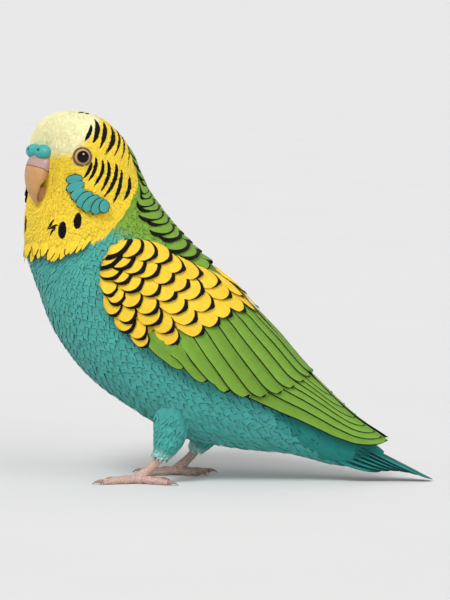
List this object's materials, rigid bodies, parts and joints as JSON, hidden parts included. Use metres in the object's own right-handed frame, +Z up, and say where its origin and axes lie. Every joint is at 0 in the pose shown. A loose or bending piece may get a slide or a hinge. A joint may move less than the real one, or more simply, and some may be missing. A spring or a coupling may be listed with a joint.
{
  "type": "budgerigar",
  "caption": "Life-size still model of a standing budgerigar, head turned to its left, wings folded and tail tip on the floor.",
  "frame": {"origin": "on the floor under the middle of the bird's box", "axes": "-Y is the way the body faces, +X is the bird's left and +Z is up"},
  "size_m": [0.0638, 0.1664, 0.151],
  "materials": {
    "body_plumage": "teal contour feathers, matte",
    "neck_plumage": "green and teal contour feathers with fine dark scallops, matte",
    "head_plumage": "yellow face with black bars, spots and teal cheek patches, matte",
    "wing_plumage": "yellow and green feathers with black centres and pale edges, matte",
    "tail_plumage": "dark teal tail feathers, faint sheen",
    "horn": "satin tan horn",
    "cere": "smooth teal skin, faint sheen",
    "eye": "wet black pupil in a tan iris",
    "foot_skin": "scaly pinkish grey skin, matte",
    "claw": "satin grey-brown horn"
  },
  "bodies": {
    "root": {"torso": "body_plumage", "neck": "neck_plumage", "head": "head_plumage", "wing_left": "wing_plumage", "wing_right": "wing_plumage", "tail": "tail_plumage", "thigh_left": "body_plumage", "thigh_right": "body_plumage", "eye_left": "eye", "eye_right": "eye", "cere": "cere", "bill_upper": "horn", "bill_lower": "horn", "foot_left": "foot_skin", "foot_right": "foot_skin", "claw_inner_front_left": "claw", "claw_outer_front_left": "claw", "claw_outer_back_left": "claw", "claw_inner_back_left": "claw", "claw_inner_front_right": "claw", "claw_outer_front_right": "claw", "claw_outer_back_right": "claw", "claw_inner_back_right": "claw"}
  },
  "joints": []
}
